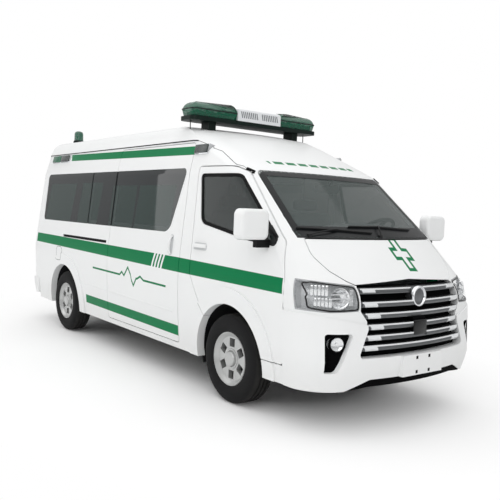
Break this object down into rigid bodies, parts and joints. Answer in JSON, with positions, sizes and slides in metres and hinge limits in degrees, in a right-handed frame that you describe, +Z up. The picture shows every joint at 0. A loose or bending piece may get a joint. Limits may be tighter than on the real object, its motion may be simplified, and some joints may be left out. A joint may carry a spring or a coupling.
{
  "type": "high-roof van ambulance",
  "caption": "High-roof van ambulance with hinged cab doors, hood and tailgate, steered front wheels, bonded glass and a roof light bar.",
  "frame": {"origin": "ground level, midway between nose and tail on the centre plane", "axes": "+X towards the nose, +Y to the driver's left, +Z up"},
  "size_m": [5.3, 2.15, 2.3079],
  "materials": {
    "white_paint": "gloss",
    "black_plastic": "matte",
    "chassis_steel": "satin",
    "exhaust_steel": "satin",
    "chrome_trim": "polished",
    "clear_glass": "polished",
    "tinted_glass": "polished",
    "red_lens": "gloss",
    "green_lens": "gloss",
    "grey_lens": "gloss",
    "white_plastic": "gloss",
    "seat_fabric": "matte",
    "interior_panel": "matte",
    "wheel_silver": "satin",
    "tyre_rubber": "matte"
  },
  "bodies": {
    "van": {"side_frame_right": "white_paint", "side_frame_left": "white_paint", "high_roof": "white_paint", "fenders": "white_paint", "front_sills": "white_paint", "front_bumper": "white_paint", "rear_bumper": "white_paint", "sliding_door": "white_paint", "cowl_panel": "black_plastic", "bumper_inserts": "black_plastic", "grille_backing": "black_plastic", "headlamp_housings": "black_plastic", "front_wheelhouses": "black_plastic", "rear_wheelhouses": "black_plastic", "slide_rail": "black_plastic", "warning_light_bases": "black_plastic", "mudflaps": "black_plastic", "dashboard": "black_plastic", "steering_wheel": "black_plastic", "fuel_tank": "black_plastic", "floor_pan": "chassis_steel", "chassis_frame": "chassis_steel", "suspension_arms": "chassis_steel", "leaf_springs": "chassis_steel", "rear_axle": "chassis_steel", "propshaft": "chassis_steel", "engine_block": "chassis_steel", "exhaust": "exhaust_steel", "grille_bars": "chrome_trim", "windscreen": "clear_glass", "headlamp_lenses": "clear_glass", "fog_lamps": "clear_glass", "side_glass": "tinted_glass", "tail_lamps": "red_lens", "warning_light_lenses": "green_lens", "warning_lamps": "grey_lens", "light_bar_centre": "white_plastic", "front_seats": "seat_fabric", "partition": "interior_panel"},
    "hood": {"hood": "white_paint"},
    "door_right": {"door_right": "white_paint", "door_glass_right": "clear_glass", "mirror_right": "white_paint"},
    "door_left": {"door_left": "white_paint", "door_glass_left": "clear_glass", "mirror_left": "white_paint"},
    "tailgate": {"tailgate": "white_paint", "tailgate_glass": "tinted_glass"},
    "knuckle_right": {"knuckle_right": "chassis_steel"},
    "knuckle_left": {"knuckle_left": "chassis_steel"},
    "wheel_front_right": {"wheel_front_right": "wheel_silver", "tyre_front_right": "tyre_rubber"},
    "wheel_front_left": {"wheel_front_left": "wheel_silver", "tyre_front_left": "tyre_rubber"},
    "wheel_rear_right": {"wheel_rear_right": "wheel_silver", "tyre_rear_right": "tyre_rubber"},
    "wheel_rear_left": {"wheel_rear_left": "wheel_silver", "tyre_rear_left": "tyre_rubber"}
  },
  "joints": [
    {"name": "steer_left", "type": "hinge", "parent": "van", "child": "knuckle_left", "pos_m": [1.555, 0.65, 0.327], "axis": [0, 0, 1], "range_deg": [-35, 35]},
    {"name": "steer_right", "type": "hinge", "parent": "van", "child": "knuckle_right", "pos_m": [1.555, -0.65, 0.327], "axis": [0, 0, 1], "range_deg": [-35, 35]},
    {"name": "spin_front_left", "type": "hinge", "parent": "knuckle_left", "child": "wheel_front_left", "pos_m": [1.555, 0.725, 0.327], "axis": [0, 1, 0], "continuous": true},
    {"name": "spin_front_right", "type": "hinge", "parent": "knuckle_right", "child": "wheel_front_right", "pos_m": [1.555, -0.725, 0.327], "axis": [0, 1, 0], "continuous": true},
    {"name": "spin_rear_left", "type": "hinge", "parent": "van", "child": "wheel_rear_left", "pos_m": [-1.555, 0.725, 0.327], "axis": [0, 1, 0], "continuous": true},
    {"name": "spin_rear_right", "type": "hinge", "parent": "van", "child": "wheel_rear_right", "pos_m": [-1.555, -0.725, 0.327], "axis": [0, 1, 0], "continuous": true},
    {"name": "door_right_swing", "type": "hinge", "parent": "van", "child": "door_right", "pos_m": [2.1695, -0.845, 0.9], "axis": [0, 0, 1], "range_deg": [0, 68]},
    {"name": "door_left_swing", "type": "hinge", "parent": "van", "child": "door_left", "pos_m": [2.1695, 0.845, 0.9], "axis": [0, 0, -1], "range_deg": [0, 68]},
    {"name": "hood_lift", "type": "hinge", "parent": "van", "child": "hood", "pos_m": [2.226, 0, 1.2435], "axis": [0, -1, 0], "range_deg": [0, 50]},
    {"name": "tailgate_lift", "type": "hinge", "parent": "van", "child": "tailgate", "pos_m": [-2.521, 0, 1.9615], "axis": [0, 1, 0], "range_deg": [0, 85]}
  ],
  "couplings": [
    {"joint": "steer_right", "follows": "steer_left", "ratio": 1}
  ]
}
